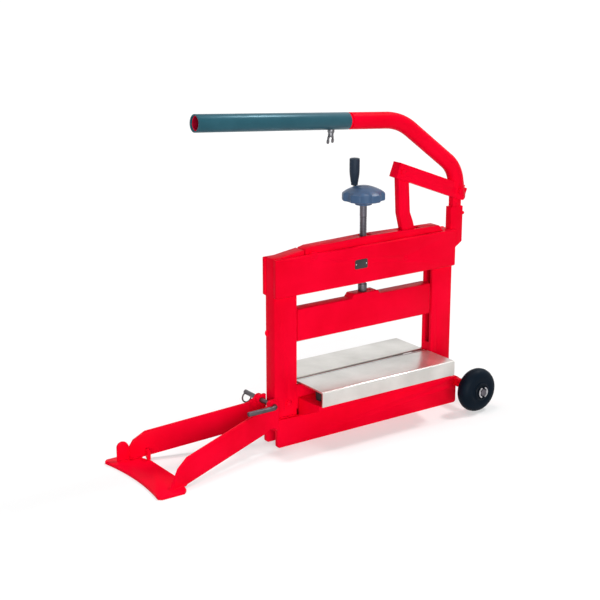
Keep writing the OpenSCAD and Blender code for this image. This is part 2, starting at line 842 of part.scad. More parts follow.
module wing_screw() color(steel) handle_frame() translate([sleeve_gap + wing_run, 0, 0]) {
    translate([0, 0, handle_d / 2 + rest_fit])
        cylinder(d = wing_d, h = tube_d / 2 + boss_h - handle_d / 2);
    translate([0, 0, tube_d / 2 + boss_h + rest_fit]) {
        cylinder(d = wing_d + wing_web, h = wing_hub_h);
        for (s = [0, 1]) mirror([s, 0, 0]) plate_y(wing_t) {
            polygon([[0, 0], [wing_reach, wing_hub_h], [wing_reach, wing_hub_h + wing_fall - wing_web],
                [wing_web, wing_hub_h]]);
            translate([wing_reach - wing_web / 2, wing_hub_h + wing_fall - wing_web]) circle(wing_web);
        }
    }
}

// Link between the arm and the press beam

link_top_x = link_pin_x;
link_top_z = lever_z + arm_l * sin(arm_tilt);
link_lean = 5.5;
link_left_share = 0.295;
// Where the link's bar ends inside its round head and foot
link_seat_share = 0.55;
link_toe_shares = [0.1, 0.35, 0.65];
link_heel_shares = [0.6, 0.3];

// Outline of the link: a head in the arm, an upright stretch, and a foot that sweeps out to the right
module link_side() {
    left = link_top_x - link_left_share * link_w;
    right = left + link_w;
    foot_left = link_foot_x - link_foot_r - link_lean;
    foot_right = link_foot_x + link_foot_r;
    sweep = link_knee_z - link_foot_z;
    polygon(concat(
        [[left, link_top_z - head_r], [link_top_x - link_seat_share * head_r, link_top_z],
            [link_top_x + link_seat_share * head_r, link_top_z], [right, link_top_z - link_neck],
            [right + link_lean, link_knee_z]],
        [for (k = link_toe_shares)
            [right + link_lean + (foot_right - right - link_lean) * sin(90 * k), link_knee_z - sweep * k]],
        [[link_foot_x + link_seat_share * link_foot_r, link_foot_z], [foot_left, link_foot_z]],
        [for (k = link_heel_shares) [left + link_lean + (foot_left - left - link_lean) * k, link_knee_z - sweep * k]],
        [[left + link_lean, link_knee_z]]));
}

module lever_link() color(red) difference() {
    union() {
        plate_y(link_t) link_side();
        translate([link_top_x, 0, link_top_z]) rod_y(2 * head_r, link_t);
        translate([link_foot_x, 0, link_foot_z]) rod_y(2 * link_foot_r, link_t);
    }
    translate([link_top_x, 0, link_top_z]) rod_y(link_pin_d + 2 * pin_fit, link_t + 2 * over);
    translate([link_foot_x, 0, link_foot_z]) rod_y(foot_pin_d, link_t + 2 * over);
}

module link_foot_pin() color(steel) translate([link_foot_x, 0, link_foot_z]) rod_y(foot_pin_d, beam_w);

// Press beam: an inverted channel between the cheeks, under a low ridge

module press_side(drop) {
    left = -pivot_run - beam_left_run;
    polygon([[left, beam_z], [beam_run, beam_z], [beam_run, tail_z], [tail_run, tail_z],
        [tail_run - tail_slant, ridge_z - ridge_fall - drop], [0, ridge_z - drop],
        [left + beam_shoulder, ridge_z - ridge_fall - drop], [left, cheek_top - drop]]);
}

module press_beam() color(red) difference() {
    plate_y(beam_w) press_side(0);
    plate_y(press_inner) translate([0, -over]) {
        press_side(beam_wall - over);
        translate([-pivot_run - beam_left_run - over, beam_z - over])
            square([pivot_run + beam_left_run + beam_run + 2 * over, ridge_z - beam_z - ridge_fall - beam_shoulder]);
    }
    translate([-screw_hole_left, -press_inner / 2, ridge_z - ridge_fall - 2 * beam_wall])
        cube([screw_hole_left + screw_hole_right, press_inner, ridge_fall + 3 * beam_wall]);
    translate([stop_x - stop_d / 2, -press_inner / 2, ridge_z - ridge_fall - 2 * beam_wall])
        cube([link_way, press_inner, ridge_fall + 3 * beam_wall]);
    translate([-pivot_run, 0, pivot_z]) rod_y(beam_pin_d + 2 * pin_fit, beam_w + 2 * over);
    plate_y(beam_w + 2 * over) {
        translate([0, nut_z]) slot_xz(trunnion_d + 2 * slide_fit, trunnion_play);
        translate([link_foot_x, link_foot_z])
            slot_xz(foot_pin_d + 2 * foot_pin_play_z, foot_pin_play_x);
    }
}

// Screw nut, hung in the press beam by its trunnions
module screw_nut() color(steel) translate([0, 0, nut_z]) difference() {
    union() {
        cube([nut_side, press_inner - 2 * slide_fit, nut_side], center = true);
        rod_y(trunnion_d, beam_w - 2 * slide_fit);
    }
    cylinder(d = screw_d + 2 * pin_fit, h = nut_side + 2 * over, center = true);
}

// Knife bar, its blade and its guides

bar_l = gap_w - 2 * bar_play;

module knife_bar() color(red) difference() {
    plate_y(bar_t) polygon([[-bar_l / 2, bar_z], [bar_l / 2, bar_z], [bar_l / 2, bar_top],
        [seat_foot_w / 2, bar_top], [seat_w / 2, seat_top], [-seat_w / 2, seat_top],
        [-seat_foot_w / 2, bar_top], [-bar_l / 2, bar_top]]);
    translate([-bar_l / 2 - over, -blade_t / 2, bar_z - over])
        cube([bar_l + 2 * over, blade_t, blade_seat + over]);
    translate([0, 0, seat_top - socket_depth]) cylinder(d = screw_d + 2 * pin_fit, h = socket_depth + over);
}

module upper_blade() color(steel) translate([-bar_l / 2, 0, bar_z + blade_seat])
    mirror([0, 0, 1]) bar_x(bar_l) blade_section(blade_seat + blade_out);

module guide() translate([bar_l / 2, -tongue_w / 2, tongue_low])
    cube([tongue_l, tongue_w, tongue_h]);

module right_guide() color(steel) guide();
module left_guide() color(steel) mirror([1, 0, 0]) guide();

// Spindle, handwheel and crank grip

spindle_low = seat_top - socket_depth + rest_fit;
hub_r = 22;
rim_shares = [0.78, 1, 1, 0.86, 0.5];
rim_rise_shares = [0.16, 0.3, 0.66, 0.86, 0.98];
wheel_seat = 30;
lobes = 6;
scallop_r = 30;
scallop_depth = 5;

module spindle() color(steel) {
    translate([0, 0, spindle_low]) cylinder(d = screw_d, h = handwheel_z + wheel_seat - spindle_low);
    translate([0, 0, seat_top + rest_fit]) cylinder(d = collar_d, h = collar_h);
}

// Turned section: a hub, a stepped underside, an upright rim with lobes and a low dome
module handwheel() color(slate) translate([0, 0, handwheel_z]) difference() {
    rotate_extrude() polygon(concat([[0, 0], [hub_r, 0], [hub_r, rim_rise_shares[0] * handwheel_h]],
        [for (i = [0:4]) [rim_shares[i] * handwheel_d / 2, rim_rise_shares[i] * handwheel_h]],
        [[0, handwheel_h]]));
    for (k = [1:lobes]) rotate([0, 0, k * 360 / lobes])
        translate([handwheel_d / 2 - scallop_depth + scallop_r, 0, -over])
            cylinder(r = scallop_r, h = handwheel_h + 2 * over);
    translate([0, 0, -over]) cylinder(d = screw_d, h = wheel_seat + over);
    translate([0, crank_r, handwheel_h / 2]) cylinder(d = grip_stud_d, h = handwheel_h);
}

grip_stud_d = 9;
grip_rise = 3;
grip_low = handwheel_z + handwheel_h + grip_rise;
grip_shares = [0.7, 0.76, 0.92, 1, 1, 0.88];
grip_rise_shares = [0, 0.1, 0.45, 0.75, 0.94, 1];
grip_seat_share = 0.7;
grip_stud_seat = grip_l * grip_seat_share;

module grip_stud() color(steel) translate([0, crank_r, handwheel_z + handwheel_h / 2])
    cylinder(d = grip_stud_d, h = grip_low + grip_stud_seat - handwheel_z - handwheel_h / 2);

module crank_grip() color(dark) translate([0, crank_r, grip_low]) difference() {
    rotate_extrude() polygon(concat([[0, 0]],
        [for (i = [0:5]) [grip_shares[i] * grip_d / 2, grip_rise_shares[i] * grip_l]], [[0, grip_l]]));
    translate([0, 0, -over])
        cylinder(d = grip_stud_d + 2 * pin_fit, h = grip_stud_seat + over + rest_fit);
}

base_channel();
left_upright();
right_upright();
front_cheek();
rear_cheek();
lever_post();
beam_pivot_pin();
stop_bar();
blade_beam();
lower_blade();
beam_bolts();
front_left_bracket();
front_right_bracket();
rear_left_bracket();
rear_right_bracket();
front_buffers();
rear_buffers();
hinge_lugs();
hinge_pin();
pin_clip();
wheel_axle();
axle_spacers();
axle_clips();
front_tyre();
front_hub();
rear_tyre();
rear_hub();
front_leg();
rear_leg();
toe_plate();
toe_lug();
foot_rib();
lever_arm();
lever_tube();
lever_pin();
link_pin();
handle_tube();
handle_sleeve();
sleeve_boss();
wing_screw();
lever_link();
link_foot_pin();
press_beam();
screw_nut();
knife_bar();
upper_blade();
left_guide();
right_guide();
spindle();
handwheel();
grip_stud();
crank_grip();
front_table();
front_table_studs();
rear_table();
rear_table_studs();
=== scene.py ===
import json
from math import atan2, cos, hypot, pi, radians, sin, sqrt

import bmesh
import bpy
from mathutils import Matrix, Vector


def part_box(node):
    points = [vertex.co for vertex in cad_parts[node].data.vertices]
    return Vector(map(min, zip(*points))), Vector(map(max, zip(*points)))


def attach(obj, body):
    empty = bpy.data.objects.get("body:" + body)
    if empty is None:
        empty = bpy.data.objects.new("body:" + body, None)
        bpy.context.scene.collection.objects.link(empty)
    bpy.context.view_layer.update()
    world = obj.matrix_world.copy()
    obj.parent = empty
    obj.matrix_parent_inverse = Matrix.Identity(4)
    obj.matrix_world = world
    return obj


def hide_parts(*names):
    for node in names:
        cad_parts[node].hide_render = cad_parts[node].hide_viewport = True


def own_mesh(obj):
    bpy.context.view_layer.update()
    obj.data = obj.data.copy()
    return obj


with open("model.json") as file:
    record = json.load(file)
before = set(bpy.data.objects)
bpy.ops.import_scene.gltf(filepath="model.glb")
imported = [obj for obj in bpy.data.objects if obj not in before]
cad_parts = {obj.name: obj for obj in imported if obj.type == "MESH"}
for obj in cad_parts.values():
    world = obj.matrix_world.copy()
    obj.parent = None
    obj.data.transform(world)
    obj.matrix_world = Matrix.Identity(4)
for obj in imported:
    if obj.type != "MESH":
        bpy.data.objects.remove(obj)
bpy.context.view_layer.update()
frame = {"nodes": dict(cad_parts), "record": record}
nodes = frame["nodes"]
record = frame["record"]
bodyOf = {node: body for body, members in record["behaviour"]["bodies"].items() for node in members}
slotOf = {row["node"]: row["material_slot"] for row in record["subparts"]}
jointOf = {joint["name"]: joint for joint in record["behaviour"]["joints"]}
scene = bpy.context.scene
mm = 0.001


# Mesh helpers

tolerance = {"merge": 0.01, "seam": 0.001, "flatAngle": 0.3}     # mm, mm and degrees


def vertsIn(geom):
    return [g for g in geom if isinstance(g, bmesh.types.BMVert)]


def facesIn(geom):
    return [g for g in geom if isinstance(g, bmesh.types.BMFace)]


def openEdges(bm):
    return [e for e in bm.edges if e.is_boundary]


def chained(bm, points):
    # the points, each joined to the next by an edge
    verts = [bm.verts.new(point) for point in points]
    for a, b in zip(verts, verts[1:]):
        bm.edges.new((a, b))


def roundEdges(bm, width, segments=2, limit=30):
    sharp = [e for e in bm.edges if len(e.link_faces) == 2 and e.calc_face_angle(0) > radians(limit)]
    if sharp and width:
        bmesh.ops.bevel(bm, geom=sharp, offset=width * mm, offset_type="OFFSET", affect="EDGES",
                        segments=segments, profile=0.5, material=-1, clamp_overlap=True, loop_slide=True)


def turned(profile, steps):
    # a profile of (radius, height) in mm, spun about Z
    bm = bmesh.new()
    chained(bm, [(r * mm, 0, z * mm) for r, z in profile])
    bmesh.ops.spin(bm, geom=bm.verts[:] + bm.edges[:], cent=(0, 0, 0), axis=(0, 0, 1),
                   angle=2 * pi, steps=steps, use_merge=True)
    bmesh.ops.remove_doubles(bm, verts=bm.verts, dist=tolerance["seam"] * mm)
    bmesh.ops.recalc_face_normals(bm, faces=bm.faces)
    return bm


def moved(bm, *matrices):
    for matrix in matrices:
        bmesh.ops.transform(bm, matrix=matrix, verts=bm.verts)
    return bm


def shift(x, y, z):
    return Matrix.Translation((x, y, z))


def joined(*parts):
    whole = bmesh.new()
    for part in parts:
        mesh = bpy.data.meshes.new("part")
        part.to_mesh(mesh)
        part.free()
        whole.from_mesh(mesh)
        bpy.data.meshes.remove(mesh)
    return whole


def newPiece(name, bm, material, body, slot, replaced=(), smooth=32):
    mesh = bpy.data.meshes.new(name)
    bm.to_mesh(mesh)
    bm.free()
    mesh.shade_smooth()
    mesh.set_sharp_from_angle(angle=radians(smooth))
    mesh.materials.append(material)
    piece = bpy.data.objects.new(name, mesh)
    scene.collection.objects.link(piece)
    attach(piece, body)
    if replaced:
        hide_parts(*replaced)
    return piece


faceForward = Matrix.Rotation(pi / 2, 4, "X")      # a turned piece's +Z comes to look towards the front
faceBack = Matrix.Rotation(-pi / 2, 4, "X")


# Finishes: a soft blotch in the colour, a fine grain in the roughness and the bump

pattern = {"blotchEnds": (0.32, 0.68), "blotchDetail": 5, "grainEnds": (0.3, 0.7), "grainDetail": 3}


def addNode(tree, kind, inputs=None, **settings):
    node = tree.nodes.new("ShaderNode" + kind)
    for key, value in settings.items():
        setattr(node, key, value)
    for key, value in (inputs or {}).items():
        node.inputs[key].default_value = value
    return node


def noiseOn(tree, scale, detail, stretch=(1, 1, 1)):
    place = addNode(tree, "TexCoord")
    mapping = addNode(tree, "Mapping", {"Scale": stretch})
    noise = addNode(tree, "TexNoise", {"Scale": scale, "Detail": detail})
    tree.links.new(place.outputs["Object"], mapping.inputs["Vector"])
    tree.links.new(mapping.outputs["Vector"], noise.inputs["Vector"])
    return noise.outputs["Fac"]


def makeFinish(name, look):
    material = bpy.data.materials.new(name)
    material.use_nodes = True
    tree = material.node_tree
    shader = tree.nodes["Principled BSDF"]
    tint = addNode(tree, "ValToRGB")
    colours = (look["dark"], look["light"])
    for stop, place, colour in zip(tint.color_ramp.elements, pattern["blotchEnds"], colours):
        stop.position = place
        stop.color = (*colour, 1)
    tree.links.new(noiseOn(tree, look["blotch"], pattern["blotchDetail"]), tint.inputs["Fac"])
    tree.links.new(tint.outputs["Color"], shader.inputs["Base Color"])
    grain = noiseOn(tree, look["grain"], pattern["grainDetail"], look.get("stretch", (1, 1, 1)))
    low, high = look["rough"]
    fine, coarse = pattern["grainEnds"]
    rough = addNode(tree, "MapRange", {"From Min": fine, "From Max": coarse, "To Min": low, "To Max": high})
    tree.links.new(grain, rough.inputs["Value"])
    tree.links.new(rough.outputs["Result"], shader.inputs["Roughness"])
    bump = addNode(tree, "Bump", {"Strength": look["bump"], "Distance": look["depth"] * mm})
    tree.links.new(grain, bump.inputs["Height"])
    tree.links.new(bump.outputs["Normal"], shader.inputs["Normal"])
    shader.inputs["Metallic"].default_value = look.get("metal", 0)
    shader.inputs["Specular IOR Level"].default_value = look.get("specular", 0.5)
    return material


finishes = {
    "redPaint": {"dark": (0.82, 0.0004, 0.017), "light": (0.94, 0.001, 0.026), "blotch": 9,
                 "grain": 420, "rough": (0.26, 0.4), "bump": 0.05, "depth": 0.5, "specular": 0.02},
    # painted shade: a dark red for the handle tube's bore, in place of the shadow inside the tube
    "shadedBoreRed": {"dark": (0.2, 0.0004, 0.012), "light": (0.3, 0.001, 0.018), "blotch": 30,
                "grain": 300, "rough": (0.5, 0.7), "bump": 0.1, "depth": 0.3, "specular": 0.02},
    "slatePaint": {"dark": (0.014, 0.08, 0.11), "light": (0.021, 0.1, 0.136), "blotch": 14, "grain": 520,
                   "rough": (0.29, 0.36), "bump": 0.03, "depth": 0.3, "specular": 0.22, "metal": 0.2},
    "wheelPlastic": {"dark": (0.037, 0.083, 0.167), "light": (0.05, 0.104, 0.203), "blotch": 26,
                     "grain": 700, "rough": (0.32, 0.42), "bump": 0.05, "depth": 0.2, "specular": 0.3},
    "gripPlastic": {"dark": (0.01, 0.02, 0.036), "light": (0.016, 0.028, 0.047), "blotch": 30,
                    "grain": 800, "rough": (0.44, 0.58), "bump": 0.1, "depth": 0.3, "specular": 0.16},
    "bareSteel": {"dark": (0.46, 0.46, 0.45), "light": (0.6, 0.59, 0.57), "blotch": 11, "grain": 90,
                  "stretch": (1, 14, 14), "rough": (0.3, 0.46), "bump": 0.06, "depth": 0.3, "metal": 1},
    "tableSteel": {"dark": (0.56, 0.545, 0.515), "light": (0.72, 0.7, 0.67), "blotch": 11, "grain": 90,
                   "stretch": (1, 14, 14), "rough": (0.28, 0.42), "bump": 0.06, "depth": 0.3, "metal": 1},
    "turnedSteel": {"dark": (0.09, 0.085, 0.1), "light": (0.15, 0.14, 0.16), "blotch": 20, "grain": 160,
                    "stretch": (1, 1, 9), "rough": (0.32, 0.46), "bump": 0.06, "depth": 0.2, "metal": 1},
    "zincPlate": {"dark": (0.42, 0.42, 0.44), "light": (0.56, 0.56, 0.58), "blotch": 60, "grain": 500,
                  "rough": (0.3, 0.46), "bump": 0.06, "depth": 0.2, "metal": 1},
    "dullZinc": {"dark": (0.1, 0.1, 0.11), "light": (0.19, 0.19, 0.2), "blotch": 80, "grain": 500,
                 "rough": (0.3, 0.46), "bump": 0.06, "depth": 0.2, "metal": 1},
    "darkOxide": {"dark": (0.075, 0.065, 0.072), "light": (0.13, 0.115, 0.125), "blotch": 45,
                  "grain": 600, "rough": (0.36, 0.52), "bump": 0.1, "depth": 0.25, "metal": 0.9},
    "tyreRubber": {"dark": (0.0018, 0.0055, 0.011), "light": (0.003, 0.008, 0.0155), "blotch": 24,
                   "grain": 750, "rough": (0.4, 0.56), "bump": 0.1, "depth": 0.3, "specular": 0.06},
    "hubPlastic": {"dark": (0.002, 0.005, 0.009), "light": (0.0035, 0.007, 0.0125), "blotch": 30,
                   "grain": 800, "rough": (0.34, 0.48), "bump": 0.08, "depth": 0.2, "specular": 0.07},
    "bufferRubber": {"dark": (0.01, 0.01, 0.011), "light": (0.018, 0.018, 0.02), "blotch": 40,
                     "grain": 700, "rough": (0.6, 0.78), "bump": 0.12, "depth": 0.3},
    "blankPlate": {"dark": (0.006, 0.006, 0.007), "light": (0.012, 0.012, 0.013), "blotch": 40,
                   "grain": 900, "rough": (0.25, 0.4), "bump": 0.04, "depth": 0.1},
}
finish = {name: makeFinish(name, look) for name, look in finishes.items()}
print("finishes:", len(finish))


# Pieces that keep the solid's shape, with the width in mm of their broken edges

edgeBreaks = {
    "redPaint": {"base_channel": 2.2, "left_upright": 2.5, "right_upright": 2.5, "front_cheek": 1.2,
                 "rear_cheek": 1.2, "lever_post": 1.5, "beam_pivot_pin": 0.8, "stop_bar": 0.8,
                 "blade_beam": 1.2, "front_left_bracket": 0.8, "front_right_bracket": 0.8,
                 "rear_left_bracket": 0.8, "rear_right_bracket": 0.8, "hinge_lugs": 1.0,
                 "axle_spacers": 0.6, "front_leg": 1.4, "rear_leg": 1.4, "toe_plate": 1.4,
                 "toe_lug": 1.2, "foot_rib": 1.2, "lever_arm": 1.5, "lever_tube": 0, "lever_pin": 0.8,
                 "link_pin": 0.8, "lever_link": 1.0, "knife_bar": 1.5},
    "bareSteel": {"lower_blade": 0.3, "upper_blade": 0.3, "left_guide": 0.6, "right_guide": 0.6,
                  "front_table_studs": 0.5, "rear_table_studs": 0.5, "link_foot_pin": 0.8,
                  "grip_stud": 0.4, "screw_nut": 0.8},
    "tableSteel": {"front_table": 0.7, "rear_table": 0.7},
    "turnedSteel": {"wheel_axle": 1.2},
    "dullZinc": {"sleeve_boss": 0.5},
    "darkOxide": {"pin_clip": 0},
    "slatePaint": {"handle_sleeve": 0.6},
}


def camel(node):
    first, *rest = node.split("_")
    return first + "".join(word.title() for word in rest)


def dressed(node, width, material, reshape=None):
    bm = bmesh.new()
    bm.from_mesh(nodes[node].data)
    bmesh.ops.remove_doubles(bm, verts=bm.verts, dist=tolerance["merge"] * mm)
    if reshape:
        reshape(bm)
    flat = radians(tolerance["flatAngle"])
    bmesh.ops.dissolve_limit(bm, angle_limit=flat, verts=bm.verts, edges=bm.edges)
    roundEdges(bm, width)
    return newPiece(camel(node), bm, material, bodyOf[node], slotOf[node], [node])


for finishName, widths in edgeBreaks.items():
    for node, width in widths.items():
        dressed(node, width, finish[finishName])
print("dressed nodes:", sum(len(widths) for widths in edgeBreaks.values()))


# Handle tube, painted outside, with painted shade in its bore: a darker red stands in for the shadow inside
# the tube

handleTube = {"edge": 0.5}


def paintShadeInBore(piece, axis, centre):
    # the bore's faces look back at the tube's own axis, and the end rings look along it
    # the bore's faces get the dark red, painted shade for the tube's shadowed inside
    for face in piece.data.polygons:
        offset = face.center - centre
        if face.normal.dot(offset - axis * offset.dot(axis)) < -mm:
            face.material_index = 1


piece = dressed("handle_tube", handleTube["edge"], finish["redPaint"])
piece.data.materials.append(finish["shadedBoreRed"])
tubeLow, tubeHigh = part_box("handle_tube")
paintShadeInBore(piece, Vector(jointOf["sleeve_slide"]["axis"]).normalized(), (tubeLow + tubeHigh) / 2)
print("handle tube made")


# Press beam with its left end drawn up, and the sloped cover that meets it over the left upright

pressBeam = {"edge": 1.2, "endLift": 12, "endWithin": 1}
cover = {"from": -284, "flatTo": -268, "to": -195, "low": 1.8, "high": 12, "half": 18.4, "edge": 0.8}


def liftEnd(bm):
    within = pressBeam["endWithin"] * mm
    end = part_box("press_beam")[0].x
    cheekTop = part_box("front_cheek")[1].z
    for v in bm.verts:
        if v.co.x < end + within and v.co.z > cheekTop - within:
            v.co.z += pressBeam["endLift"] * mm


def slopedCover(size):
    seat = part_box("left_upright")[1].z / mm
    flat = seat + size["low"]
    outline = [(size["from"], seat), (size["to"], seat), (size["to"], seat + size["high"]),
               (size["flatTo"], flat), (size["from"], flat)]
    bm = bmesh.new()
    side = bm.faces.new([bm.verts.new((x * mm, -size["half"] * mm, z * mm)) for x, z in outline])
    grown = bmesh.ops.extrude_face_region(bm, geom=[side])["geom"]
    bmesh.ops.translate(bm, vec=(0, 2 * size["half"] * mm, 0), verts=vertsIn(grown))
    bmesh.ops.recalc_face_normals(bm, faces=bm.faces)
    roundEdges(bm, size["edge"])
    return bm


dressed("press_beam", pressBeam["edge"], finish["redPaint"], liftEnd)
newPiece("uprightCover", slopedCover(cover), finish["redPaint"], "frame", "red_paint")
print("press beam and cover made")


# Wing screw, turned on its own axis to where the picture shows it

wingScrew = {"turn": -30, "edge": 0.8}

piece = dressed("wing_screw", wingScrew["edge"], finish["dullZinc"])
wingAt = shift(*jointOf["wing_turn"]["pos_m"])
wingSpin = Matrix.Rotation(radians(wingScrew["turn"]), 4, Vector(jointOf["wing_turn"]["axis"]))
piece.data.transform(wingAt @ wingSpin @ wingAt.inverted())
print("wing screw turned")


# Handwheel with six lobes, and its crank grip

handwheel = {
    "profileShares": [(0, 0), (0.4, 0), (0.4, 0.14), (0.7, 0.17), (0.76, 0.2), (0.97, 0.26), (1, 0.3),
                      (1, 0.6), (0.98, 0.66), (0.86, 0.77), (0.7, 0.865), (0.57, 0.93), (0.42, 0.995),
                      (0.27, 1.04), (0.26, 1.02), (0.23, 1.02), (0.22, 1.045), (0, 1.06)],
    "lobes": 6, "scallopRadius": 22, "scallopDepth": 8, "steps": 180, "edge": 0.8,
    "softFromShare": 0.6, "soften": 0.4,
}
grip = {
    "profileShares": [(0, 0), (0.6, 0), (0.7, 0.02), (0.7, 0.055), (0.66, 0.065), (0.66, 0.085),
                      (0.73, 0.1), (0.8, 0.2), (0.88, 0.3), (0.95, 0.4), (0.99, 0.5), (1, 0.58),
                      (1, 0.955), (0.97, 0.985), (0.9, 1), (0.32, 1), (0.28, 0.985), (0, 0.985)],
    "steps": 64, "edge": 0.5, "neck": 5,
}


def scaled(shares, radius, height):
    return [(r * radius / mm, z * height / mm) for r, z in shares]


def scallopEdge(angle, radius):
    turn = 2 * pi / handwheel["lobes"]
    off = (angle + turn / 2) % turn - turn / 2
    reach = radius - (handwheel["scallopDepth"] - handwheel["scallopRadius"]) * mm
    inside = (handwheel["scallopRadius"] * mm) ** 2 - (reach * sin(off)) ** 2
    return reach * cos(off) - sqrt(inside) if inside > 0 else radius


low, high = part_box("handwheel")
wheelRadius = (high.y - low.y) / 2
bm = turned(scaled(handwheel["profileShares"], wheelRadius, high.z - low.z), handwheel["steps"])
roundEdges(bm, handwheel["edge"])
for v in bm.verts:
    reach = hypot(v.co.x, v.co.y)
    edge = scallopEdge(atan2(v.co.y, v.co.x), wheelRadius)
    if reach > edge:
        v.co.x *= edge / reach
        v.co.y *= edge / reach
softFrom = handwheel["softFromShare"] * wheelRadius
rim = [v for v in bm.verts if hypot(v.co.x, v.co.y) > softFrom]
bmesh.ops.smooth_vert(bm, verts=rim, factor=handwheel["soften"],
                      use_axis_x=True, use_axis_y=True, use_axis_z=True)
moved(bm, shift(0, 0, low.z))
newPiece("lobedHandwheel", bm, finish["wheelPlastic"], "screw", "wheel_plastic", ["handwheel"])

low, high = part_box("crank_grip")
gripFoot = low.z - grip["neck"] * mm     # the grip's foot comes down over its stud, almost to the wheel
bm = turned(scaled(grip["profileShares"], (high.x - low.x) / 2, high.z - gripFoot), grip["steps"])
roundEdges(bm, grip["edge"])
moved(bm, shift(0, (low.y + high.y) / 2, gripFoot))
newPiece("crankGrip", bm, finish["gripPlastic"], "grip", "grip_plastic", ["crank_grip"])
print("handwheel and grip made")


# Spindle: a plain shank, a cut thread and a thrust collar

spindle = {"crest": 9, "root": 8, "pitch": 4, "threadLow": 400, "threadHigh": 556, "stepsPerTurn": 28,
           "lowLap": 6, "highLap": 4, "taper": 1, "shankSteps": 48}
collar = {"bore": 8.8, "radius": 11.5, "low": 356.3, "high": 376.3, "edge": 1.2, "steps": 56}


def threadOf(size):
    # one pitch of the thread's section, spun up the spindle
    flank = size["pitch"] / 6
    land = size["pitch"] / 3
    section = [(size["root"], 0), (size["root"], land - flank), (size["crest"], land),
               (size["crest"], 2 * land), (size["root"], 2 * land + flank), (size["root"], size["pitch"])]
    turns = int((size["threadHigh"] - size["threadLow"]) / size["pitch"])
    steps = size["stepsPerTurn"]
    bm = bmesh.new()
    chained(bm, [(r * mm, 0, (size["threadLow"] + z) * mm) for r, z in section])
    bmesh.ops.spin(bm, geom=bm.verts[:] + bm.edges[:], cent=(0, 0, 0), axis=(0, 0, 1),
                   dvec=(0, 0, size["pitch"] * mm / steps), angle=2 * pi * turns, steps=turns * steps)
    bmesh.ops.remove_doubles(bm, verts=bm.verts, dist=tolerance["merge"] * mm)
    bmesh.ops.holes_fill(bm, edges=openEdges(bm))
    bmesh.ops.recalc_face_normals(bm, faces=bm.faces)
    return bm


def shanksOf(size, foot, head):
    # plain below and above the thread, each tapered into its root
    lapLow = size["threadLow"] + size["lowLap"]
    lapHigh = size["threadHigh"] - size["highLap"]
    lower = [(0, foot), (size["crest"], foot), (size["crest"], lapLow),
             (size["root"], lapLow + size["taper"]), (0, lapLow + size["taper"])]
    upper = [(0, lapHigh - size["taper"]), (size["root"], lapHigh - size["taper"]),
             (size["crest"], lapHigh), (size["crest"], head), (0, head)]
    return [turned(profile, size["shankSteps"]) for profile in (lower, upper)]


low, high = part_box("spindle")
bm = joined(threadOf(spindle), *shanksOf(spindle, low.z / mm, high.z / mm))
newPiece("threadedSpindle", bm, finish["turnedSteel"], "screw", "bare_steel", ["spindle"])
bm = turned([(collar["bore"], collar["low"]), (collar["radius"], collar["low"]),
             (collar["radius"], collar["high"]), (collar["bore"], collar["high"])], collar["steps"])
roundEdges(bm, collar["edge"])
newPiece("thrustCollar", bm, finish["darkOxide"], "screw", "grey_steel")
print("spindle made")


# Wheels: solid tyres with a half-round tread, dished hubs and spring clips on the axle ends

tyre = {"bore": 23, "grooveFrom": 25.2, "grooveTo": 28, "grooveDeep": 0.8, "arcSteps": 10, "steps": 96,
        "smooth": 50}
hub = {"bore": 9.05, "radius": 22.9, "edge": 0.6, "steps": 72, "rimRise": 1.5, "boreRise": 3.4,
       "dish": [(20.5, 4), (18.8, 4), (17.6, 2.2), (11.5, 2.2)]}
clip = {"inner": 11.6, "outer": 15, "thick": 2.4, "turn": 138, "steps": 26, "edge": 0.4, "inset": 1.4,
        "bite": 9.1, "tabWide": 7, "tabLap": 1, "tabThickShare": 0.9}


def tyreSection(size, radius, half):
    deep = size["grooveDeep"]
    side = [(size["bore"], half), (size["grooveFrom"], half), (size["grooveFrom"] + deep, half - deep),
            (size["grooveTo"] - deep, half - deep), (size["grooveTo"], half)]
    angles = [pi * step / size["arcSteps"] for step in range(size["arcSteps"] + 1)]
    tread = [(radius - half + half * sin(a), -half * cos(a)) for a in angles]
    outline = [(r, -z) for r, z in side] + tread + side[::-1]
    return outline + outline[:1]


def hubSection(size, half):
    # the dished face's heights are counted from the tyre's side
    back = [(size["bore"], -half), (size["radius"], -half)]
    face = [(size["radius"], size["rimRise"]), *size["dish"], (size["bore"], size["boreRise"])]
    return back + [(r, half + rise) for r, rise in face] + back[:1]


def clipHalf(size, middle):
    # half of a spring clip: a bent strip with a tab that bites on the axle, in the plane z = 0
    bm = bmesh.new()
    inner, outer, thick = size["inner"] * mm, size["outer"] * mm, size["thick"] * mm
    start = radians(middle - size["turn"] / 2)
    section = [(inner, -thick / 2), (outer, -thick / 2), (outer, thick / 2), (inner, thick / 2)]
    face = bm.faces.new([bm.verts.new((r * cos(start), r * sin(start), z)) for r, z in section])
    bmesh.ops.spin(bm, geom=[face] + face.verts[:] + face.edges[:], cent=(0, 0, 0), axis=(0, 0, 1),
                   angle=radians(size["turn"]), steps=size["steps"])
    bm.faces.remove(face)
    bmesh.ops.holes_fill(bm, edges=openEdges(bm))
    tab = bmesh.ops.create_cube(bm, size=1)["verts"]
    bite = size["bite"] * mm
    long = inner - bite + size["tabLap"] * mm
    bmesh.ops.scale(bm, vec=(long, size["tabWide"] * mm, thick * size["tabThickShare"]), verts=tab)
    bmesh.ops.translate(bm, vec=(bite + long / 2, 0, 0), verts=tab)
    bmesh.ops.rotate(bm, cent=(0, 0, 0), matrix=Matrix.Rotation(radians(middle), 3, "Z"), verts=tab)
    bmesh.ops.recalc_face_normals(bm, faces=bm.faces)
    return bm


